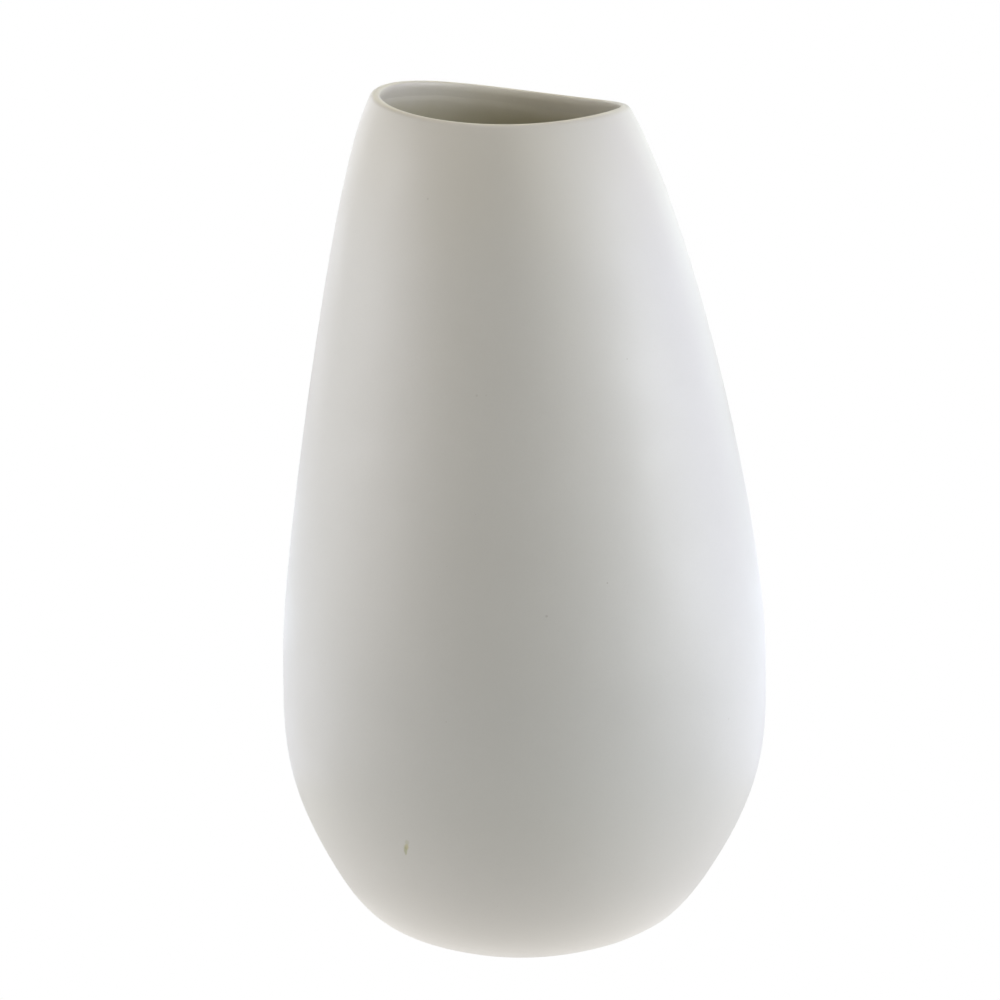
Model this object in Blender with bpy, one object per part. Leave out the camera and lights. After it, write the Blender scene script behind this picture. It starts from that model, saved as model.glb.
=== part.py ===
"""Flower vase: a slip-cast porcelain body, and the glaze that is fused to its inside.

Units are metres and +Z is up. The vase stands on z = 0 with its belly centred on the Z axis. Its
centre line is a shallow bow that touches the Z axis at the belly, so the mouth sits a little towards
-X, and the rim rises and falls around the mouth in a soft wave instead of lying level.

Every surface is turned about that bowed centre line. A section is a chain of (radius, height) points
that starts and ends on the centre line, and skin() carries it round the vase.
"""

import math

import bmesh
import bpy
from mathutils import Vector

MM = 0.001

# Outer wall: foot, haunch, belly and crown, each with its radius, its height and the wall's slope
# there above the horizontal. The pulls are the lengths of the curve handles at those four points.
# The crown lies above the rim, which cuts the wall off below it.
FOOT_RADIUS = 32.0 * MM
FOOT_SLOPE = math.radians(18.0)
FOOT_PULL = 18.0 * MM
HAUNCH_RADIUS = 67.0 * MM
HAUNCH_HEIGHT = 28.2 * MM
HAUNCH_SLOPE = math.radians(59.6)
HAUNCH_PULL_BELOW = 21.4 * MM
HAUNCH_PULL_ABOVE = 35.1 * MM
BELLY_RADIUS = 83.4 * MM
BELLY_HEIGHT = 100.3 * MM
BELLY_SLOPE = math.radians(90.0)
BELLY_PULL_BELOW = 27.3 * MM
BELLY_PULL_ABOVE = 45.1 * MM
CROWN_RADIUS = 37.9 * MM
CROWN_HEIGHT = 299.0 * MM
CROWN_SLOPE = math.radians(162.8)
CROWN_PULL = 16.9 * MM

# Bow of the centre line: a parabola that touches the Z axis at BOW_HEIGHT and is BOW_REACH off it
# at the rim.
BOW_HEIGHT = 80.0 * MM
BOW_REACH = 9.7 * MM

# Rim: its mean height, and its wave of one high side, two crests across from each other and three
# slight ripples.
RIM_HEIGHT = 291.9 * MM
TILT_HEIGHT = 2.5 * MM
TILT_AZIMUTH = math.radians(169.3)
CREST_HEIGHT = 1.7 * MM
CREST_AZIMUTH = math.radians(155.8)
RIPPLE_HEIGHT = 0.25 * MM
RIPPLE_AZIMUTH = math.radians(-9.5)

# Lip: it rolls over softly from the outer wall and turns down tightly into the inner one.
LIP_ROLL = 2.4 * MM
LIP_TURN = 0.6 * MM
LIP_THICKNESS = LIP_ROLL + LIP_TURN

# Wall and floor.
FOOT_THICKNESS = 5.0 * MM
FLOOR_HEIGHT = 6.6 * MM
FLOOR_PULL = 16.0 * MM
FLOOR_JOIN = 0.55

# Underside: a ground foot ring around a shallow recess.
RING_WIDTH = 5.5 * MM
RECESS_DEPTH = 1.6 * MM
RECESS_SLOPE_WIDTH = 2.0 * MM

# Glaze: a thin skin on the inner wall, which stops a little under the top of the lip.
GLAZE_GAP = 0.3 * MM
GLAZE_THICKNESS = 0.4 * MM
GLAZE_BELOW_LIP = 1.2 * MM

# Fineness of the solids.
SEGMENTS = 48
STEPS = (4, 7, 12)
LIP_STEPS = 4
FLOOR_STEPS = 4


def polar(angle, length):
    return Vector((math.cos(angle), math.sin(angle))) * length


def span(start, start_slope, start_pull, end, end_slope, end_pull):
    """The control points of a curve that leaves start, and arrives at end, at the given slopes."""
    return start, start + polar(start_slope, start_pull), end - polar(end_slope, end_pull), end


FOOT = Vector((FOOT_RADIUS, 0.0))
HAUNCH = Vector((HAUNCH_RADIUS, HAUNCH_HEIGHT))
BELLY = Vector((BELLY_RADIUS, BELLY_HEIGHT))
CROWN = Vector((CROWN_RADIUS, CROWN_HEIGHT))
SPANS = (
    span(FOOT, FOOT_SLOPE, FOOT_PULL, HAUNCH, HAUNCH_SLOPE, HAUNCH_PULL_BELOW),
    span(HAUNCH, HAUNCH_SLOPE, HAUNCH_PULL_ABOVE, BELLY, BELLY_SLOPE, BELLY_PULL_BELOW),
    span(BELLY, BELLY_SLOPE, BELLY_PULL_ABOVE, CROWN, CROWN_SLOPE, CROWN_PULL),
)


def bezier(p0, p1, p2, p3, t):
    """The point at t on a cubic curve, and the unit tangent there."""
    u = 1.0 - t
    point = u ** 3 * p0 + 3.0 * u * u * t * p1 + 3.0 * u * t * t * p2 + t ** 3 * p3
    tangent = u * u * (p1 - p0) + 2.0 * u * t * (p2 - p1) + t * t * (p3 - p2)
    return point, tangent.normalized()


def outer(s):
    """The outer wall at s, which is 0 at the foot, 1 at the haunch, 2 at the belly and 3 at the crown."""
    index = min(int(s), len(SPANS) - 1)
    return bezier(*SPANS[index], s - index)


def inward(tangent):
    return Vector((-tangent.y, tangent.x))


def rim_height(azimuth):
    """The height of the lip's top."""
    tilt = TILT_HEIGHT * math.cos(azimuth - TILT_AZIMUTH)
    crests = CREST_HEIGHT * math.cos(2.0 * (azimuth - CREST_AZIMUTH))
    ripples = RIPPLE_HEIGHT * math.cos(3.0 * (azimuth - RIPPLE_AZIMUTH))
    return RIM_HEIGHT + tilt + crests + ripples


def wall_end(azimuth, below=0.0):
    """The s at which the wall turns into a lip whose top lies below the rim's height by that much."""
    low, high = 2.5, 3.0
    for _ in range(40):
        middle = (low + high) / 2.0
        point, tangent = outer(middle)
        top = (point + inward(tangent) * LIP_ROLL).y + LIP_ROLL
        if top < rim_height(azimuth) - below:
            low = middle
        else:
            high = middle
    return low


def wall(s, end, depth):
    """A point in the wall, from depth 0 at its outer face to 1 at its inner face."""
    point, tangent = outer(s)
    thickness = LIP_THICKNESS + (FOOT_THICKNESS - LIP_THICKNESS) * (1.0 - s / end) ** 2
    return point + inward(tangent) * (thickness * depth)


def inner(s, end, clearance):
    """A point on the inner wall, moved into the hollow by clearance."""
    _, tangent = outer(s)
    return wall(s, end, 1.0) + inward(tangent) * clearance


def stations(end):
    """The values of s for the rings of the wall, from the foot up to end."""
    for start, count in enumerate(STEPS):
        stop = end if start == len(STEPS) - 1 else start + 1.0
        for step in range(count):
            yield start + (stop - start) * step / count
    yield end


def floor(end, clearance):
    """The hollow's floor, from its centre out to the inner wall, as a curve that is level at the centre."""
    join = inner(FLOOR_JOIN, end, clearance)
    _, tangent = outer(FLOOR_JOIN)
    centre = Vector((0.0, FLOOR_HEIGHT + clearance))
    handles = centre + Vector((FLOOR_PULL, 0.0)), join - tangent * FLOOR_PULL
    return [bezier(centre, *handles, join, step / FLOOR_STEPS)[0] for step in range(FLOOR_STEPS)] + [join]


def hollow(end, top, clearance):
    """The hollow's wall and floor, from the centre of the floor up to s = top."""
    rings = [s for s in stations(top) if s > FLOOR_JOIN]
    return floor(end, clearance) + [inner(s, end, clearance) for s in rings]


def lip(end):
    """The lip, from just above the outer wall's end over to the inner wall."""
    point, tangent = outer(end)
    roll_centre = point + inward(tangent) * LIP_ROLL
    turn_centre = roll_centre + tangent * (LIP_ROLL - LIP_TURN)
    points = []
    for centre, radius, first in ((roll_centre, LIP_ROLL, 0), (turn_centre, LIP_TURN, LIP_STEPS)):
        for step in range(first + 1, first + LIP_STEPS + 1):
            turn = math.pi / 2.0 * step / LIP_STEPS
            spoke = tangent * math.sin(turn) - inward(tangent) * math.cos(turn)
            points.append(centre + spoke * radius)
    return points


def body_section(azimuth):
    """Recess, foot ring, outer wall, lip, inner wall and floor."""
    end = wall_end(azimuth)
    ring_inside = FOOT_RADIUS - RING_WIDTH
    recess = Vector((ring_inside - RECESS_SLOPE_WIDTH, RECESS_DEPTH))
    section = [Vector((0.0, RECESS_DEPTH)), recess, Vector((ring_inside, 0.0))]
    section += [wall(s, end, 0.0) for s in stations(end)]
    return section + lip(end) + hollow(end, end, 0.0)[::-1]


def glaze_section(azimuth):
    """The glaze's back against the wall, its upper edge, and its face."""
    end = wall_end(azimuth)
    top = wall_end(azimuth, GLAZE_BELOW_LIP)
    back = hollow(end, top, GLAZE_GAP)
    face = hollow(end, top, GLAZE_GAP + GLAZE_THICKNESS)
    return back + face[::-1]


def place(point, azimuth):
    """A section's point, turned to its azimuth and moved to the bowed centre line."""
    rise = (point.y - BOW_HEIGHT) / (RIM_HEIGHT - BOW_HEIGHT)
    middle = -BOW_REACH * rise * rise
    return Vector((middle + point.x * math.cos(azimuth), point.x * math.sin(azimuth), point.y))


def skin(name, section_at):
    """A closed mesh from a section, whose first and last points are the poles on the centre line."""
    azimuths = [math.tau * segment / SEGMENTS for segment in range(SEGMENTS)]
    sections = [section_at(azimuth) for azimuth in azimuths]
    bm = bmesh.new()
    poles = [bm.verts.new(place(sections[0][end], 0.0)) for end in (0, -1)]
    columns = []
    for azimuth, section in zip(azimuths, sections):
        rings = [bm.verts.new(place(point, azimuth)) for point in section[1:-1]]
        columns.append([poles[0], *rings, poles[1]])
    for segment in range(SEGMENTS):
        left, right = columns[segment], columns[(segment + 1) % SEGMENTS]
        for row in range(len(left) - 1):
            corners = (left[row], right[row], right[row + 1], left[row + 1])
            bm.faces.new(dict.fromkeys(corners))
    mesh = bpy.data.meshes.new(name)
    bm.to_mesh(mesh)
    bm.free()
    mesh.shade_smooth()
    mesh.set_sharp_from_angle(angle=math.radians(35.0))
    return mesh


def material(name, colour, roughness):
    """A plain ceramic finish."""
    made = bpy.data.materials.new(name)
    made.use_nodes = True
    shader = made.node_tree.nodes["Principled BSDF"]
    shader.inputs["Base Color"].default_value = (*colour, 1.0)
    shader.inputs["Roughness"].default_value = roughness
    shader.inputs["Metallic"].default_value = 0.0
    return made


def add_part(name, section_at, finish, parent):
    part = bpy.data.objects.new(name, skin(name, section_at))
    part.data.materials.append(finish)
    part.parent = parent
    bpy.context.collection.objects.link(part)


def main():
    for old in list(bpy.data.objects):
        bpy.data.objects.remove(old)
    vase = bpy.data.objects.new("vase", None)
    bpy.context.collection.objects.link(vase)
    add_part("vase_body", body_section, material("bisque_porcelain", (0.80, 0.79, 0.77), 0.60), vase)
    add_part("inner_glaze", glaze_section, material("clear_glaze", (0.78, 0.77, 0.73), 0.12), vase)


main()
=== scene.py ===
"""Flower vase: a matte porcelain body and the glaze fused to its inside, in a plain white studio.

Units are metres and the frame is the CAD model's: +Z is up, the vase stands on z = 0, its mouth leans
towards -X, and the camera stands on the -Y side.

The two pieces are turned about the same bowed centre line as the CAD solids, from the same dimensions,
on a mesh fine enough for a smooth outline. What the solids leave out is added here: the eased edges of
the foot ring, the faint unevenness of a cast and sponged wall, the flare of the inner wall under the lip,
and a glaze that lies on the wall and thins out to a wavering edge below the lip.
"""

import math

import bpy
import numpy as np
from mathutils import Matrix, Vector


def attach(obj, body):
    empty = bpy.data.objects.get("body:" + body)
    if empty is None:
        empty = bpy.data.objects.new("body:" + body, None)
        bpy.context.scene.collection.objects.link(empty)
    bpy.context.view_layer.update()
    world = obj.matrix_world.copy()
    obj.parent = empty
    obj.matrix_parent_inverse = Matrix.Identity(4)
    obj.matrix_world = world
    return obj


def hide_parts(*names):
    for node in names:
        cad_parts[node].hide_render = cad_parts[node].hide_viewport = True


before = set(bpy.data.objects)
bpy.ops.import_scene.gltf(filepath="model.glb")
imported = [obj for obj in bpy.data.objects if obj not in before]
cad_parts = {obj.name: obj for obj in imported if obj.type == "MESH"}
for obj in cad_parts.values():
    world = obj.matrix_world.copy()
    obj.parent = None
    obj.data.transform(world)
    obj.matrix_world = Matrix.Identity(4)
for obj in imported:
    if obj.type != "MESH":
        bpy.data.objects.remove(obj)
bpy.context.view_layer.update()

MM = 0.001

# The dimensions of part.py.
FOOT_RADIUS = 32.0 * MM
FOOT_SLOPE = math.radians(18.0)
FOOT_PULL = 18.0 * MM
HAUNCH_RADIUS = 67.0 * MM
HAUNCH_HEIGHT = 28.2 * MM
HAUNCH_SLOPE = math.radians(59.6)
HAUNCH_PULL_BELOW = 21.4 * MM
HAUNCH_PULL_ABOVE = 35.1 * MM
BELLY_RADIUS = 83.4 * MM
BELLY_HEIGHT = 100.3 * MM
BELLY_SLOPE = math.radians(90.0)
BELLY_PULL_BELOW = 27.3 * MM
BELLY_PULL_ABOVE = 45.1 * MM
CROWN_RADIUS = 37.9 * MM
CROWN_HEIGHT = 299.0 * MM
CROWN_SLOPE = math.radians(162.8)
CROWN_PULL = 16.9 * MM
BOW_HEIGHT = 80.0 * MM
BOW_REACH = 9.7 * MM
RIM_HEIGHT = 291.9 * MM
TILT_HEIGHT = 2.5 * MM
TILT_AZIMUTH = math.radians(169.3)
CREST_HEIGHT = 1.7 * MM
CREST_AZIMUTH = math.radians(155.8)
RIPPLE_HEIGHT = 0.25 * MM
RIPPLE_AZIMUTH = math.radians(-9.5)
LIP_ROLL = 2.4 * MM
LIP_TURN = 0.6 * MM
LIP_THICKNESS = LIP_ROLL + LIP_TURN
FOOT_THICKNESS = 5.0 * MM
FLOOR_HEIGHT = 6.6 * MM
FLOOR_PULL = 16.0 * MM
FLOOR_JOIN = 0.55
RING_WIDTH = 5.5 * MM
RECESS_DEPTH = 1.6 * MM
RECESS_SLOPE_WIDTH = 2.0 * MM
GLAZE_BELOW_LIP = 1.2 * MM

# What the solids leave out. The lengths that end in SPAN are measured along the wall by its s, which
# outer() explains.
EASE = 0.5 * MM
EASE_SPAN = 0.02
UNEVENNESS = 0.05 * MM
EVEN_FOOT_SPAN = 0.4
EVEN_LIP_SPAN = 0.08
FLARE = 1.1 * MM
FLARE_DEPTH = 3.0 * MM
FLARE_FADE = 40.0 * MM
GLAZE_COAT = 0.25 * MM
GLAZE_SUNK = 0.1 * MM
GLAZE_TAPER_SPAN = 0.03
GLAZE_WAVER = 0.3 * MM

# Marks in the clay, each by its azimuth and height: the pale green stain's parts, with their half
# width, half height, taper, colour and strength, and the darkest iron specks with their radius and
# strength. A part with a taper of 1 comes to a point at its foot. A part reaches STAIN_REACH times its
# half width into the wall, so that the wall's curve doesn't cut it short.
STAINS = (
    (-120.5, 50.9 * MM, 1.0 * MM, 1.6 * MM, 0.3, (0.62, 0.61, 0.44), 0.45),
    (-120.9, 49.1 * MM, 0.9 * MM, 1.7 * MM, 0.5, (0.66, 0.60, 0.29), 0.60),
    (-121.5, 47.6 * MM, 0.80 * MM, 3.0 * MM, 0.7, (0.45, 0.46, 0.21), 0.55),
)
STAIN_REACH = 3.0
STAIN_WOBBLE = 0.5 * MM
SPECKS = (
    (-84.8, 132.1 * MM, 0.60 * MM, 0.26),
    (-100.8, 203.7 * MM, 0.55 * MM, 0.16),
    (-117.7, 266.0 * MM, 0.50 * MM, 0.18),
    (-34.8, 88.8 * MM, 0.50 * MM, 0.20),
    (64.0, 158.0 * MM, 0.55 * MM, 0.22),
    (131.0, 84.0 * MM, 0.50 * MM, 0.24),
)

# Tones of the clay and of the glaze. The clay's warm tone at the lip is painted light through the thin
# lip, the thin glaze's pale tone near the rim is partly painted light, and the deep glaze's darker tones
# are partly painted shade in the hollow.
CLAY = (0.815, 0.803, 0.768)
CLAY_CLOUD = (0.797, 0.784, 0.747)
CLAY_MOTTLE = (0.782, 0.771, 0.737)
CLAY_GRAIN = (0.770, 0.752, 0.708)
CLAY_LIP_GLOW = (0.792, 0.768, 0.706)
CLAY_UNDERSIDE = (0.775, 0.757, 0.715)
SOIL = (0.600, 0.575, 0.530)
SPECK = (0.46, 0.42, 0.35)
DUST = (0.36, 0.31, 0.25)
IRON = (0.30, 0.26, 0.20)
THIN_GLAZE_AND_RIM_LIGHT = (0.855, 0.826, 0.762)
DEEP_GLAZE_AND_SHADE = (0.735, 0.705, 0.588)
DEEP_GLAZE_CLOUD_AND_SHADE = (0.712, 0.682, 0.563)
POOLED_GLAZE = (0.690, 0.700, 0.635)
GLAZE_SPECK = (0.42, 0.38, 0.30)

# Roughness, from the smoothest patches to the roughest. Below about 0.28 the renderer's denoiser leaves
# hard-edged patches on the inner wall.
CLAY_ROUGHNESS = (0.35, 0.45)
GLAZE_ROUGHNESS = (0.29, 0.35)

# Fineness of the meshes, and of the search for the wall's end.
SEGMENTS = 216
STEPS = (36, 44, 110)
LIP_STEPS = 12
TAPER_STEPS = 12
EASE_STEPS = 6
RECESS_STEPS = 12
RING_STEPS = 8
FLOOR_STEPS = 36
OUTLINE_STEPS = 600
SEARCH_STEPS = 40

# Camera.
AIM = Vector((-8.6 * MM, 0.0, 154.14 * MM))
CAMERA_ELEVATION = math.radians(12.0)
CAMERA_DISTANCE = 1.8
CAMERA_LENS = 188.49
CAMERA_SENSOR = 36.0

# Softboxes, which all face the middle of the vase from SOFTBOX_DISTANCE: each by its azimuth from the
# camera's side towards +X, its elevation, its colour and its power. The places were chosen, and the
# colours and powers come from a least-squares fit of the shading to the photo's, rounded.
SOFTBOX_DISTANCE = 1.2
SOFTBOX_SIZE = 0.8
SOFTBOXES = {
    "fill_right": (40.0, 27.0, (1.00, 0.96, 0.84), 2.8),
    "fill_left": (-40.0, 27.0, (1.00, 0.93, 0.69), 1.75),
    "front_right": (60.0, 8.0, (0.91, 0.97, 1.00), 1.8),
    "front_left": (-60.0, 8.0, (1.00, 0.96, 0.95), 1.9),
    "side_right": (80.0, 8.0, (0.94, 0.96, 1.00), 7.2),
    "side_left": (-80.0, 8.0, (1.00, 0.98, 0.99), 3.7),
    "flank_right": (100.0, 8.0, (0.70, 0.74, 1.00), 2.1),
    "flank_left": (-100.0, 8.0, (0.99, 1.00, 1.00), 3.0),
    "rear_right": (125.0, 8.0, (0.79, 0.74, 1.00), 1.6),
    "rear_left": (-125.0, 8.0, (1.00, 0.99, 0.93), 1.0),
    "back_right": (150.0, 8.0, (0.91, 1.00, 0.79), 1.2),
    "back_left": (-150.0, 8.0, (1.00, 0.95, 1.00), 1.55),
    "back_high": (180.0, 48.0, (1.00, 0.81, 0.27), 2.5),
    "overhead": (0.0, 88.0, (0.87, 0.86, 1.00), 2.5),
}

# The glow of the backdrop, which lies beyond the vase and fades in over BACKDROP_EDGE, two values of a
# direction's Y, and of the floor: the rings of the floor by their outer radius, with their colour on
# the camera's side and on the backdrop's side. Two rings blend over RING_BLEND of their radius to each
# side, and the floor's two sides over SEAM, in metres. The floor lies FLOOR_DROP under the foot. The
# glows come from the same fit, and those of the three inner rings were then changed.
BACKDROP_GLOW = (0.853, 0.936, 0.986)
BACKDROP_EDGE = (0.60, 0.95)
FLOOR_SIZE = 4.0
FLOOR_DROP = 0.3 * MM
FLOOR_GLOW = 2.0
FLOOR_RINGS = (
    (0.07, (0.447, 0.434, 0.418), (0.500, 0.486, 0.468)),
    (0.12, (0.303, 0.294, 0.284), (0.345, 0.335, 0.324)),
    (0.20, (0.245, 0.243, 0.226), (0.370, 0.368, 0.343)),
    (0.50, (0.098, 0.120, 0.152), (0.571, 0.588, 0.662)),
    (1.00, (0.000, 0.000, 0.013), (0.736, 0.802, 0.910)),
    (1.50, (0.000, 0.000, 0.000), (0.000, 0.000, 0.000)),
)
RING_BLEND = 0.05
SEAM = 0.05


# ---------------------------------------------------------------------------------------------
# Shape


def polar(angle, length):
    return np.array([math.cos(angle), math.sin(angle)]) * length


def span(start, start_slope, start_pull, end, end_slope, end_pull):
    """The control points of a curve that leaves start, and arrives at end, at the given slopes."""
    start, end = np.array(start), np.array(end)
    return np.array([start, start + polar(start_slope, start_pull), end - polar(end_slope, end_pull), end])


FOOT = (FOOT_RADIUS, 0.0)
HAUNCH = (HAUNCH_RADIUS, HAUNCH_HEIGHT)
BELLY = (BELLY_RADIUS, BELLY_HEIGHT)
CROWN = (CROWN_RADIUS, CROWN_HEIGHT)
SPANS = np.array([
    span(FOOT, FOOT_SLOPE, FOOT_PULL, HAUNCH, HAUNCH_SLOPE, HAUNCH_PULL_BELOW),
    span(HAUNCH, HAUNCH_SLOPE, HAUNCH_PULL_ABOVE, BELLY, BELLY_SLOPE, BELLY_PULL_BELOW),
    span(BELLY, BELLY_SLOPE, BELLY_PULL_ABOVE, CROWN, CROWN_SLOPE, CROWN_PULL),
])
AZIMUTHS = np.linspace(0.0, math.tau, SEGMENTS, endpoint=False)


def bezier(points, t):
    """The points at t on cubic curves, and the unit tangents there."""
    p0, p1, p2, p3 = (points[..., k, :] for k in range(4))
    t = np.asarray(t)[..., None]
    u = 1.0 - t
    point = u ** 3 * p0 + 3.0 * u * u * t * p1 + 3.0 * u * t * t * p2 + t ** 3 * p3
    tangent = u * u * (p1 - p0) + 2.0 * u * t * (p2 - p1) + t * t * (p3 - p2)
    return point, tangent / np.linalg.norm(tangent, axis=-1, keepdims=True)


def outer(s):
    """The outer wall at s, which is 0 at the foot, 1 at the haunch, 2 at the belly and 3 at the crown."""
    index = np.minimum(np.asarray(s).astype(int), len(SPANS) - 1)
    return bezier(SPANS[index], s - index)


def inward(tangent):
    return np.stack([-tangent[..., 1], tangent[..., 0]], -1)


def rim_height(azimuth):
    """The height of the lip's top."""
    tilt = TILT_HEIGHT * np.cos(azimuth - TILT_AZIMUTH)
    crests = CREST_HEIGHT * np.cos(2.0 * (azimuth - CREST_AZIMUTH))
    ripples = RIPPLE_HEIGHT * np.cos(3.0 * (azimuth - RIPPLE_AZIMUTH))
    return RIM_HEIGHT + tilt + crests + ripples


def wall_end(below=0.0):
    """For each azimuth, the s at which the wall turns into a lip whose top is that much below the rim.

    It lies in the upper half of the last curve, whose heights only rise, so the range is halved.
    """
    low, high = np.full(SEGMENTS, 2.5), np.full(SEGMENTS, 3.0)
    for _ in range(SEARCH_STEPS):
        middle = (low + high) / 2.0
        point, tangent = outer(middle)
        top = (point + inward(tangent) * LIP_ROLL)[..., 1] + LIP_ROLL
        under = top < rim_height(AZIMUTHS) - below
        low, high = np.where(under, middle, low), np.where(under, high, middle)
    return low


END = wall_end()
OUTLINE_RADIUS, OUTLINE_HEIGHT = outer(np.linspace(0.0, 3.0, OUTLINE_STEPS))[0].T


def wall(s, depth):
    """Points in the wall, at depth 0 on its outer face and 1 on its inner face."""
    point, tangent = outer(s)
    thickness = LIP_THICKNESS + (FOOT_THICKNESS - LIP_THICKNESS) * (1.0 - s / END) ** 2
    return point + inward(tangent) * (thickness * depth)[..., None]


def fuller(below):
    """How much the flare under the lip adds to the wall's thickness, at a depth below the lip's top."""
    return FLARE * (1.0 - np.exp(-below / FLARE_DEPTH)) * np.exp(-below / FLARE_FADE)


def inner(s, clearance):
    """Points on the inner wall, moved into the hollow by clearance."""
    point, tangent = outer(s)
    below = LIP_ROLL + outer(END)[0][..., 1] - point[..., 1]
    return wall(s, 1.0) + inward(tangent) * (fuller(below) + clearance)[..., None]


def stations(end, first):
    """The values of s for the rings of the wall, from above first up to end, one column per azimuth."""
    rows = []
    for start, count in enumerate(STEPS):
        stop = end if start == len(STEPS) - 1 else np.full(SEGMENTS, start + 1.0)
        rows += [start + (stop - start) * step / count for step in range(count)]
    rows.append(end)
    return np.array([row for row in rows if row[0] > first])


def unevenness(s):
    """The faint swells of a wall that was cast in plaster and sponged by hand, in metres."""
    a = AZIMUTHS[None, :]
    swells = (
        (1.0, 3, 2.1, 0.4), (0.8, 5, 4.3, 2.2), (0.7, 2, 6.1, 4.0), (0.5, 8, 3.7, 1.1),
        (0.4, 7, 9.2, 5.3), (0.35, 12, 6.6, 3.1), (0.25, 4, 13.9, 0.9), (0.2, 15, 11.3, 2.7),
    )
    total = sum(weight * np.sin(turns * a + rate * s + start) for weight, turns, rate, start in swells)
    fade = np.clip(s / EVEN_FOOT_SPAN, 0.0, 1.0) * np.clip((END - s) / EVEN_LIP_SPAN, 0.0, 1.0)
    return UNEVENNESS * total * fade


def floor(clearance):
    """The hollow's floor, from its centre out to the inner wall, as a curve that is level at the centre."""
    s = np.full(SEGMENTS, FLOOR_JOIN)
    join = inner(s, clearance)
    _, tangent = outer(s)
    centre = np.tile([0.0, FLOOR_HEIGHT + clearance], (SEGMENTS, 1))
    handles = centre + [FLOOR_PULL, 0.0], join - tangent * FLOOR_PULL
    points = np.stack([centre, *handles, join], -2)
    turns = np.arange(FLOOR_STEPS)[:, None] / FLOOR_STEPS * np.ones(SEGMENTS)
    return bezier(points, turns)[0]


def eased(before, corner, after):
    """The points of an edge at corner that is rounded over EASE towards the points before and after it."""
    a, b, c = (np.array(point) for point in (before, corner, after))
    start = b + (a - b) / np.linalg.norm(a - b) * EASE
    stop = b + (c - b) / np.linalg.norm(c - b) * EASE
    t = np.linspace(0.0, 1.0, EASE_STEPS)[:, None]
    return (1.0 - t) ** 2 * start + 2.0 * t * (1.0 - t) * b + t ** 2 * stop


def level(points):
    """Points of a section that is the same at every azimuth, as rows of a grid."""
    return np.repeat(np.array(points)[:, None, :], SEGMENTS, axis=1)


def underside():
    """Recess and ground foot ring, from the centre out to where the outer wall starts."""
    ring_inside = FOOT_RADIUS - RING_WIDTH
    corner = (ring_inside - RECESS_SLOPE_WIDTH, RECESS_DEPTH)
    rise = (FOOT_RADIUS + 2.0 * EASE * math.cos(FOOT_SLOPE), 2.0 * EASE * math.sin(FOOT_SLOPE))
    recess = [(corner[0] * step / RECESS_STEPS, RECESS_DEPTH) for step in range(RECESS_STEPS)]
    ring = [(ring_inside + RING_WIDTH * step / RING_STEPS, 0.0) for step in range(1, RING_STEPS)]
    points = [
        *recess,
        *eased(recess[-1], corner, (ring_inside, 0.0)),
        *eased(corner, (ring_inside, 0.0), FOOT),
        *ring,
        *eased((ring_inside, 0.0), FOOT, rise),
    ]
    return level(points)


def lip():
    """The lip: it rolls over softly from the outer wall and turns down into the flare of the inner one."""
    point, tangent = outer(END)
    centre = point + inward(tangent) * LIP_ROLL
    rows = []
    for turn in np.linspace(0.0, math.pi, 2 * LIP_STEPS, endpoint=False)[1:]:
        rise = LIP_ROLL * math.sin(turn)
        if turn <= math.pi / 2.0:
            across = -LIP_ROLL * math.cos(turn)
        else:
            across = -LIP_TURN * math.cos(turn) + fuller(LIP_ROLL - rise)
        rows.append(centre + tangent * rise + inward(tangent) * across)
    return np.array(rows)


def body_section():
    """Recess, foot ring, outer wall, lip, inner wall and floor."""
    s = stations(END, first=EASE_SPAN)
    point, tangent = outer(s)
    outside = point - inward(tangent) * unevenness(s)[..., None]
    inside = inner(stations(END, first=FLOOR_JOIN), 0.0)
    return np.concatenate([underside(), outside, lip(), inside[::-1], floor(0.0)[::-1]])


def glaze_section():
    """The glaze's back, in the wall, up to its edge below the lip, and its face back down to the floor."""
    waves = ((1.0, 2, 0.7), (0.6, 5, 2.9), (0.4, 9, 4.4), (0.25, 17, 1.3))
    waver = GLAZE_WAVER * sum(weight * np.sin(turns * AZIMUTHS + start) for weight, turns, start in waves)
    top = wall_end(GLAZE_BELOW_LIP + waver)
    taper = [top - GLAZE_TAPER_SPAN * (1.0 - step / TAPER_STEPS) for step in range(1, TAPER_STEPS + 1)]
    s = np.concatenate([stations(top - GLAZE_TAPER_SPAN, first=FLOOR_JOIN), taper])
    thinned = np.clip((top - s) / GLAZE_TAPER_SPAN, 0.0, 1.0)
    coat = (GLAZE_COAT + GLAZE_SUNK) * thinned * thinned * (3.0 - 2.0 * thinned) - GLAZE_SUNK
    face = inner(s, coat)
    back = inner(s, -2.0 * GLAZE_SUNK)
    return np.concatenate([floor(-2.0 * GLAZE_SUNK), back, face[::-1], floor(GLAZE_COAT)[::-1]])


def bow(height):
    """Where the centre line is in X at a height."""
    rise = (height - BOW_HEIGHT) / (RIM_HEIGHT - BOW_HEIGHT)
    return -BOW_REACH * rise * rise


def place(section):
    """A section's points, turned to their azimuths and moved to the bowed centre line."""
    radius, height = section[..., 0], section[..., 1]
    return np.stack([bow(height) + radius * np.cos(AZIMUTHS), radius * np.sin(AZIMUTHS), height], -1)


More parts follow.
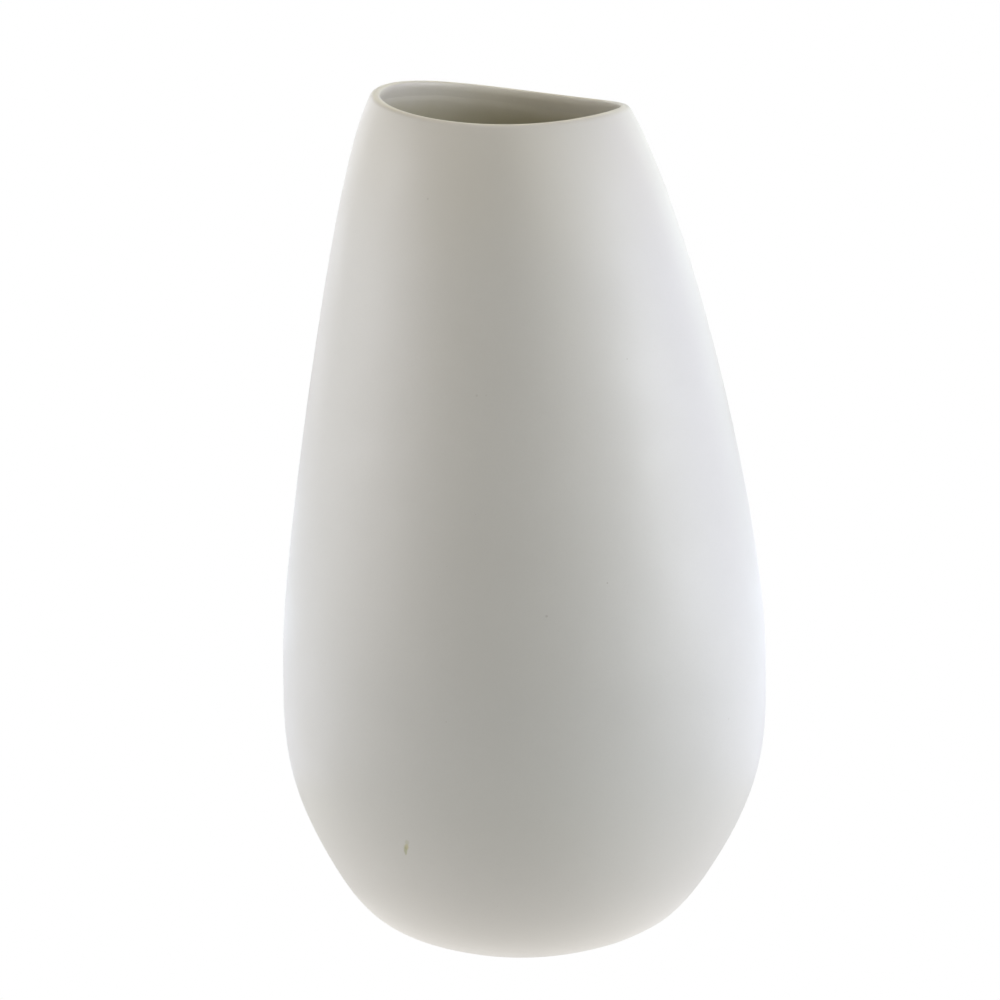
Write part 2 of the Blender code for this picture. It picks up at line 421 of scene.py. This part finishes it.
def skin(name, section):
    """A closed mesh from a section whose first and last rows are the poles on the centre line."""
    grid = place(section)
    rows = len(grid) - 2
    points = [grid[0, 0], *grid[1:-1].reshape(-1, 3), grid[-1, 0]]
    last = len(points) - 1
    faces = []
    for segment in range(SEGMENTS):
        after = (segment + 1) % SEGMENTS
        faces.append((0, 1 + after, 1 + segment))
        for row in range(rows - 1):
            low, high = 1 + row * SEGMENTS, 1 + (row + 1) * SEGMENTS
            faces.append((low + segment, low + after, high + after, high + segment))
        low = 1 + (rows - 1) * SEGMENTS
        faces.append((low + segment, low + after, last))
    mesh = bpy.data.meshes.new(name)
    mesh.from_pydata([tuple(point) for point in points], [], faces)
    mesh.validate()
    mesh.shade_smooth()
    return mesh


# ---------------------------------------------------------------------------------------------
# Materials


class Nodes:
    """A small helper that adds nodes to a material and links them."""

    def __init__(self, name):
        self.material = bpy.data.materials.new(name)
        self.material.use_nodes = True
        self.tree = self.material.node_tree
        self.shader = self.tree.nodes["Principled BSDF"]
        self.place = self.add("ShaderNodeTexCoord").outputs["Object"]

    def put(self, socket, value):
        if isinstance(value, bpy.types.NodeSocket):
            self.tree.links.new(value, socket)
        elif isinstance(value, tuple) and socket.type == "RGBA":
            socket.default_value = (*value, 1.0)
        else:
            socket.default_value = value

    def add(self, kind, inputs=None, **settings):
        made = self.tree.nodes.new(kind)
        for key, value in settings.items():
            setattr(made, key, value)
        for key, value in (inputs or {}).items():
            self.put(made.inputs[key], value)
        return made

    def noise(self, scale, detail=2.0, roughness=0.5):
        inputs = {"Vector": self.place, "Scale": scale, "Detail": detail, "Roughness": roughness}
        return self.add("ShaderNodeTexNoise", inputs).outputs["Fac"]

    def ramp(self, value, low, high, to_low=0.0, to_high=1.0):
        inputs = {0: value, 1: low, 2: high, 3: to_low, 4: to_high}
        return self.add("ShaderNodeMapRange", inputs, interpolation_type="SMOOTHSTEP").outputs[0]

    def math(self, operation, a, b=0.0, c=0.0):
        return self.add("ShaderNodeMath", {0: a, 1: b, 2: c}, operation=operation).outputs[0]

    def vector(self, operation, a, b=(0.0, 0.0, 0.0), scale=1.0, output=0):
        inputs = {0: a, 1: b, 3: scale}
        return self.add("ShaderNodeVectorMath", inputs, operation=operation).outputs[output]

    def parts(self, vector):
        return tuple(self.add("ShaderNodeSeparateXYZ", {0: vector}).outputs)

    def mix(self, factor, a, b):
        made = self.add("ShaderNodeMix", data_type="RGBA", clamp_factor=True)
        for socket, value in zip((made.inputs[0], made.inputs[6], made.inputs[7]), (factor, a, b)):
            self.put(socket, value)
        return made.outputs[2]

    def bump(self, height, distance, normal=None):
        inputs = {"Height": height, "Distance": distance, "Strength": 1.0}
        if normal is not None:
            inputs["Normal"] = normal
        return self.add("ShaderNodeBump", inputs).outputs["Normal"]

    def finish(self, **inputs):
        for key, value in inputs.items():
            self.put(self.shader.inputs[key.replace("_", " ")], value)
        return self.material


def below_rim(n):
    """How far a point lies below the rim's wavy top, in metres."""
    x, y, z = n.parts(n.place)
    azimuth = n.math("ARCTAN2", y, n.math("ADD", x, BOW_REACH))
    height = n.math("SUBTRACT", RIM_HEIGHT, z)
    waves = (TILT_AZIMUTH, TILT_HEIGHT), (CREST_AZIMUTH, CREST_HEIGHT), (RIPPLE_AZIMUTH, RIPPLE_HEIGHT)
    for turns, (start, size) in enumerate(waves, 1):
        wave = n.math("COSINE", n.math("MULTIPLY_ADD", azimuth, float(turns), -turns * start))
        height = n.math("MULTIPLY_ADD", wave, size, height)
    return height


def spots(n, scale, share, radius, seed):
    """Soft round spots, in the given share of the cells of a grid with that many cells to the metre."""
    shifted = n.vector("ADD", n.place, (seed, seed, seed))
    inputs = {"Vector": shifted, "Scale": scale, "Randomness": 1.0}
    cells = n.add("ShaderNodeTexVoronoi", inputs, feature="F1")
    pick = n.add("ShaderNodeSeparateColor", {"Color": cells.outputs["Color"]}).outputs
    size = n.math("MULTIPLY_ADD", pick[1], 0.6 * radius * scale, 0.4 * radius * scale)
    inside = n.math("SUBTRACT", 1.0, n.math("DIVIDE", cells.outputs["Distance"], size))
    return n.math("MULTIPLY", n.ramp(inside, 0.0, 0.5), n.math("LESS_THAN", pick[0], share))


def mark(n, azimuth, height, size, taper=0.0, wobble=0.0):
    """A soft-edged mark on the outer wall, given by its place, by its half size across, in and up, and by
    how much it narrows downwards.
    """
    angle = math.radians(azimuth)
    radius = np.interp(height, OUTLINE_HEIGHT, OUTLINE_RADIUS)
    centre = (bow(height) + radius * math.cos(angle), radius * math.sin(angle), height)
    offset = n.vector("SUBTRACT", n.place, centre)
    if wobble:
        drift = n.add("ShaderNodeTexNoise", {"Vector": n.place, "Scale": 700.0}).outputs["Color"]
        drift = n.vector("SUBTRACT", drift, (0.5, 0.5, 0.5))
        offset = n.vector("ADD", offset, n.vector("SCALE", drift, scale=wobble))
    offset = n.vector("DIVIDE", offset, size)
    if taper:
        x, y, z = n.parts(offset)
        width = n.math("MAXIMUM", n.math("MULTIPLY_ADD", z, taper, 1.0), 0.05)
        inputs = {0: n.math("DIVIDE", x, width), 1: n.math("DIVIDE", y, width), 2: z}
        offset = n.add("ShaderNodeCombineXYZ", inputs).outputs[0]
    distance = n.vector("LENGTH", offset, output=1)
    return n.ramp(distance, 1.0, 0.35)


def facing_in(n):
    """1 where the surface faces the vase's centre line, and 0 where it faces away."""
    x, y, _ = n.parts(n.place)
    outwards = n.add("ShaderNodeCombineXYZ", {0: n.math("ADD", x, BOW_REACH), 1: y, 2: 0.0}).outputs[0]
    normal = n.add("ShaderNodeTexCoord").outputs["Normal"]
    return n.ramp(n.vector("DOT_PRODUCT", normal, n.vector("NORMALIZE", outwards), output=1), 0.1, -0.7)


def rings(n, pitch, wander):
    """Fine concentric scratches about the vase's foot, each from 0 to 1."""
    x, y, _ = n.parts(n.place)
    flat = n.add("ShaderNodeCombineXYZ", {0: x, 1: y, 2: 0.0}).outputs[0]
    radius = n.vector("LENGTH", flat, output=1)
    radius = n.math("MULTIPLY_ADD", n.noise(90.0, 2.0), wander, radius)
    return n.add("ShaderNodeTexNoise", {"W": radius, "Scale": 1.0 / pitch, "Detail": 3.0},
                 noise_dimensions="1D").outputs["Fac"]


def bisque():
    """Unglazed porcelain, polished to a silky matte.

    It is clouded very slightly and has a fine tooth. It is painted a little warmer towards the lip, as a
    glow of light through the thin porcelain, and lighter on the inside of the lip, where a film of glaze
    has crept up, as painted light near the rim. A few iron specks and one pale green stain show in it. The
    foot ring is ground, and the recess inside it was left as it came from the mould.
    """
    n = Nodes("silky_bisque")
    _, _, z = n.parts(n.place)
    down = below_rim(n)
    under = n.ramp(z, 2.2 * MM, 0.5 * MM)
    ground = n.ramp(z, 0.35 * MM, 0.05 * MM)

    clouds = n.ramp(n.noise(14.0, 3.0, 0.5), 0.32, 0.68)
    mottle = n.ramp(n.noise(75.0, 4.0, 0.6), 0.30, 0.70)
    grain = n.ramp(n.noise(1300.0, 2.0, 0.6), 0.35, 0.75)
    colour = n.mix(clouds, CLAY, CLAY_CLOUD)
    colour = n.mix(n.math("MULTIPLY", mottle, 0.30), colour, CLAY_MOTTLE)
    colour = n.mix(n.math("MULTIPLY", grain, 0.22), colour, CLAY_GRAIN)
    patchy = n.ramp(n.noise(22.0, 3.0), 0.2, 0.7, 0.6, 1.0)
    # Painted light: the clay turns warmer towards the lip, as a glow of light through the thin porcelain.
    lip_glow = n.math("MULTIPLY", n.ramp(down, 60.0 * MM, 3.0 * MM), patchy)
    colour = n.mix(lip_glow, colour, CLAY_LIP_GLOW)
    # Painted light over a film of glaze: the inside of the lip is painted lighter near the rim.
    colour = n.mix(n.math("MULTIPLY", lip_glow, facing_in(n)), colour, THIN_GLAZE_AND_RIM_LIGHT)
    colour = n.mix(n.math("MULTIPLY", under, 0.6), colour, CLAY_UNDERSIDE)
    scratches = rings(n, 0.35 * MM, 0.6 * MM)
    soiled = n.math("MULTIPLY", ground, n.ramp(n.noise(330.0, 4.0, 0.65), 0.40, 0.72, 0.10, 0.34))
    soiled = n.math("MULTIPLY_ADD", n.math("MULTIPLY", ground, n.ramp(scratches, 0.50, 0.75)), 0.25, soiled)
    colour = n.mix(soiled, colour, SOIL)

    specks = spots(n, 150.0, 0.07, 0.42 * MM, 3.0)
    dust = spots(n, 420.0, 0.035, 0.17 * MM, 7.0)
    colour = n.mix(n.math("MULTIPLY", specks, 0.42), colour, SPECK)
    colour = n.mix(n.math("MULTIPLY", dust, 0.45), colour, DUST)
    for azimuth, height, size, strength in SPECKS:
        speck = mark(n, azimuth, height, (size, size, size))
        colour = n.mix(n.math("MULTIPLY", speck, strength), colour, IRON)
    for azimuth, height, half_width, half_height, taper, tint, strength in STAINS:
        size = (half_width, STAIN_REACH * half_width, half_height)
        stain = mark(n, azimuth, height, size, taper, STAIN_WOBBLE)
        colour = n.mix(n.math("MULTIPLY", stain, strength), colour, tint)

    tooth = n.noise(2600.0, 3.0, 0.65)
    pores = spots(n, 700.0, 0.10, 0.16 * MM, 11.0)
    sponged = n.noise(55.0, 2.0, 0.5)
    normal = n.bump(sponged, 0.10 * MM)
    normal = n.bump(tooth, 0.016 * MM, normal)
    normal = n.bump(n.math("SUBTRACT", 1.0, pores), 0.05 * MM, normal)
    coarse = n.math("MULTIPLY", n.noise(900.0, 4.0, 0.7), under)
    normal = n.bump(coarse, 0.10 * MM, normal)
    normal = n.bump(n.math("MULTIPLY", scratches, ground), 0.08 * MM, normal)

    rough = n.ramp(n.noise(48.0, 4.0, 0.6), 0.30, 0.70, *CLAY_ROUGHNESS)
    rough = n.math("MULTIPLY_ADD", under, 0.20, rough)
    rough = n.math("MULTIPLY_ADD", specks, -0.12, rough)
    return n.finish(Base_Color=colour, Roughness=rough, Normal=normal, IOR=1.5, Sheen_Weight=0.25,
                    Sheen_Roughness=0.35)


def glaze():
    """Satin glaze over the same clay.

    It starts thin at the edge below the lip, and turns a little glossier where it lies thicker. Its colour
    is painted lighter near the rim, as painted light, and darker and yellower deeper down, partly the
    glaze's own tone and partly painted shade in the hollow. It ripples softly, has a few pinholes, and has
    pooled on the floor.
    """
    n = Nodes("satin_glaze")
    _, _, z = n.parts(n.place)
    down = below_rim(n)
    full = n.ramp(n.math("MULTIPLY_ADD", n.noise(130.0, 3.0), 3.0 * MM, down), 5.5 * MM, 14.0 * MM)
    pooled = n.ramp(z, 16.0 * MM, 6.5 * MM)

    clouds = n.ramp(n.noise(25.0, 3.0, 0.5), 0.35, 0.65)
    deep_and_shade = n.mix(clouds, DEEP_GLAZE_AND_SHADE, DEEP_GLAZE_CLOUD_AND_SHADE)
    # Painted light and shade: the glaze is lighter near the rim and darker deeper in the hollow, over its
    # own tone.
    colour = n.mix(full, THIN_GLAZE_AND_RIM_LIGHT, deep_and_shade)
    colour = n.mix(n.math("MULTIPLY", pooled, 0.7), colour, POOLED_GLAZE)
    specks = spots(n, 150.0, 0.07, 0.42 * MM, 23.0)
    colour = n.mix(n.math("MULTIPLY", specks, 0.40), colour, GLAZE_SPECK)

    ripple = n.noise(70.0, 2.0, 0.5)
    orange_peel = n.noise(420.0, 2.0, 0.5)
    pinholes = spots(n, 330.0, 0.06, 0.22 * MM, 31.0)
    normal = n.bump(n.math("MULTIPLY", ripple, full), 0.16 * MM)
    normal = n.bump(n.math("MULTIPLY", orange_peel, full), 0.012 * MM, normal)
    normal = n.bump(n.math("SUBTRACT", 1.0, pinholes), 0.08 * MM, normal)

    rough = n.ramp(n.noise(180.0, 3.0, 0.5), 0.30, 0.70, *GLAZE_ROUGHNESS)
    rough = n.math("MULTIPLY_ADD", n.math("SUBTRACT", 1.0, full), 0.10, rough)
    return n.finish(Base_Color=colour, Roughness=rough, Normal=normal, IOR=1.5)


# ---------------------------------------------------------------------------------------------
# Pieces


def add_piece(name, section, finish, node):
    piece = bpy.data.objects.new(name, skin(name, section))
    piece.data.materials.append(finish)
    bpy.context.scene.collection.objects.link(piece)
    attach(piece, "root")
    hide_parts(node)


add_piece("vase_wall", body_section(), bisque(), "vase_body")
add_piece("glaze_lining", glaze_section(), glaze(), "inner_glaze")


# ---------------------------------------------------------------------------------------------
# Studio


def seen_and_lit(tree, seen, lit):
    """A shader that shows one plain colour to the camera and gives off another as light."""
    path = tree.nodes.new("ShaderNodeLightPath").outputs["Is Camera Ray"]
    mix = tree.nodes.new("ShaderNodeMixShader")
    tree.links.new(path, mix.inputs[0])
    tree.links.new(lit, mix.inputs[1])
    tree.links.new(seen, mix.inputs[2])
    return mix.outputs[0]


def along_y(tree, vector, start, stop):
    """A soft step from 0 at start to 1 at stop in a vector's Y."""
    split = tree.nodes.new("ShaderNodeSeparateXYZ")
    tree.links.new(vector, split.inputs[0])
    step = tree.nodes.new("ShaderNodeMapRange")
    step.interpolation_type = "SMOOTHSTEP"
    step.inputs[1].default_value = start
    step.inputs[2].default_value = stop
    tree.links.new(split.outputs[1], step.inputs[0])
    return step.outputs[0]


def add_world():
    """A white studio whose light comes from the backdrop beyond the vase."""
    world = bpy.data.worlds.new("studio")
    world.use_nodes = True
    tree = world.node_tree
    lit = tree.nodes["Background"]
    lit.inputs["Color"].default_value = (*BACKDROP_GLOW, 1.0)
    towards = tree.nodes.new("ShaderNodeTexCoord").outputs["Generated"]
    tree.links.new(along_y(tree, towards, *BACKDROP_EDGE), lit.inputs["Strength"])
    seen = tree.nodes.new("ShaderNodeBackground")
    seen.inputs["Color"].default_value = (1.0, 1.0, 1.0, 1.0)
    shown = seen_and_lit(tree, seen.outputs[0], lit.outputs[0])
    tree.links.new(shown, tree.nodes["World Output"].inputs["Surface"])
    bpy.context.scene.world = world


def ring_colours(tree, radius, side):
    """The floor's glow at a radius, on one side: 1 for the camera's and 2 for the backdrop's."""
    ramp = tree.nodes.new("ShaderNodeValToRGB")
    tree.links.new(radius, ramp.inputs[0])
    stops = ramp.color_ramp.elements
    stops[0].color = (*FLOOR_RINGS[0][side], 1.0)
    stops[1].color = (*FLOOR_RINGS[-1][side], 1.0)
    for ring, following in zip(FLOOR_RINGS, FLOOR_RINGS[1:]):
        for edge, colours in ((1.0 - RING_BLEND, ring), (1.0 + RING_BLEND, following)):
            stops.new(ring[0] * edge / FLOOR_RINGS[-1][0]).color = (*colours[side], 1.0)
    return ramp.outputs[0]


def floor_glow(tree):
    """The light that the floor gives off."""
    position = tree.nodes.new("ShaderNodeNewGeometry").outputs["Position"]
    length = tree.nodes.new("ShaderNodeVectorMath")
    length.operation = "LENGTH"
    tree.links.new(position, length.inputs[0])
    radius = tree.nodes.new("ShaderNodeMath")
    radius.operation = "DIVIDE"
    radius.inputs[1].default_value = FLOOR_RINGS[-1][0]
    tree.links.new(length.outputs["Value"], radius.inputs[0])
    mix = tree.nodes.new("ShaderNodeMix")
    mix.data_type = "RGBA"
    tree.links.new(along_y(tree, position, -SEAM, SEAM), mix.inputs[0])
    tree.links.new(ring_colours(tree, radius.outputs[0], 1), mix.inputs[6])
    tree.links.new(ring_colours(tree, radius.outputs[0], 2), mix.inputs[7])
    lit = tree.nodes.new("ShaderNodeEmission")
    lit.inputs["Strength"].default_value = FLOOR_GLOW
    tree.links.new(mix.outputs[2], lit.inputs["Color"])
    return lit.outputs[0]


def add_floor():
    """A white, glowing floor. From below it is clear, so that the foot can be looked at."""
    half = FLOOR_SIZE / 2.0
    mesh = bpy.data.meshes.new("floor")
    corners = [(-half, -half), (half, -half), (half, half), (-half, half)]
    mesh.from_pydata([(x, y, -FLOOR_DROP) for x, y in corners], [], [(0, 1, 2, 3)])
    floor_object = bpy.data.objects.new("floor", mesh)
    bpy.context.scene.collection.objects.link(floor_object)
    material = bpy.data.materials.new("floor_white")
    material.use_nodes = True
    tree = material.node_tree
    tree.nodes.remove(tree.nodes["Principled BSDF"])
    seen = tree.nodes.new("ShaderNodeEmission")
    seen.inputs["Color"].default_value = (1.0, 1.0, 1.0, 1.0)
    below = tree.nodes.new("ShaderNodeNewGeometry").outputs["Backfacing"]
    clear = tree.nodes.new("ShaderNodeBsdfTransparent")
    mix = tree.nodes.new("ShaderNodeMixShader")
    tree.links.new(below, mix.inputs[0])
    tree.links.new(seen_and_lit(tree, seen.outputs[0], floor_glow(tree)), mix.inputs[1])
    tree.links.new(clear.outputs[0], mix.inputs[2])
    tree.links.new(mix.outputs[0], tree.nodes["Material Output"].inputs["Surface"])
    mesh.materials.append(material)


def direction(azimuth, elevation):
    """The unit vector towards a place, from its azimuth off the camera's side and its elevation."""
    flat = math.cos(elevation)
    return Vector((flat * math.sin(azimuth), -flat * math.cos(azimuth), math.sin(elevation)))


def add_softbox(name, azimuth, elevation, colour, power):
    lamp = bpy.data.lights.new(name, "AREA")
    lamp.shape = "SQUARE"
    lamp.size = SOFTBOX_SIZE
    lamp.color = colour
    lamp.energy = power
    box = bpy.data.objects.new(name, lamp)
    towards = direction(math.radians(azimuth), math.radians(elevation))
    box.location = AIM + towards * SOFTBOX_DISTANCE
    box.rotation_euler = towards.to_track_quat("Z", "Y").to_euler()
    box.visible_camera = False
    bpy.context.scene.collection.objects.link(box)


def add_camera():
    camera = bpy.data.cameras.new("camera")
    camera.sensor_width = CAMERA_SENSOR
    camera.lens = CAMERA_LENS
    holder = bpy.data.objects.new("camera", camera)
    holder.location = AIM + direction(0.0, CAMERA_ELEVATION) * CAMERA_DISTANCE
    holder.rotation_euler = (math.radians(90.0) - CAMERA_ELEVATION, 0.0, 0.0)
    bpy.context.scene.collection.objects.link(holder)
    bpy.context.scene.camera = holder


add_world()
add_floor()
for box_name, values in SOFTBOXES.items():
    add_softbox(box_name, *values)
add_camera()
bpy.context.scene.view_settings.view_transform = "Standard"
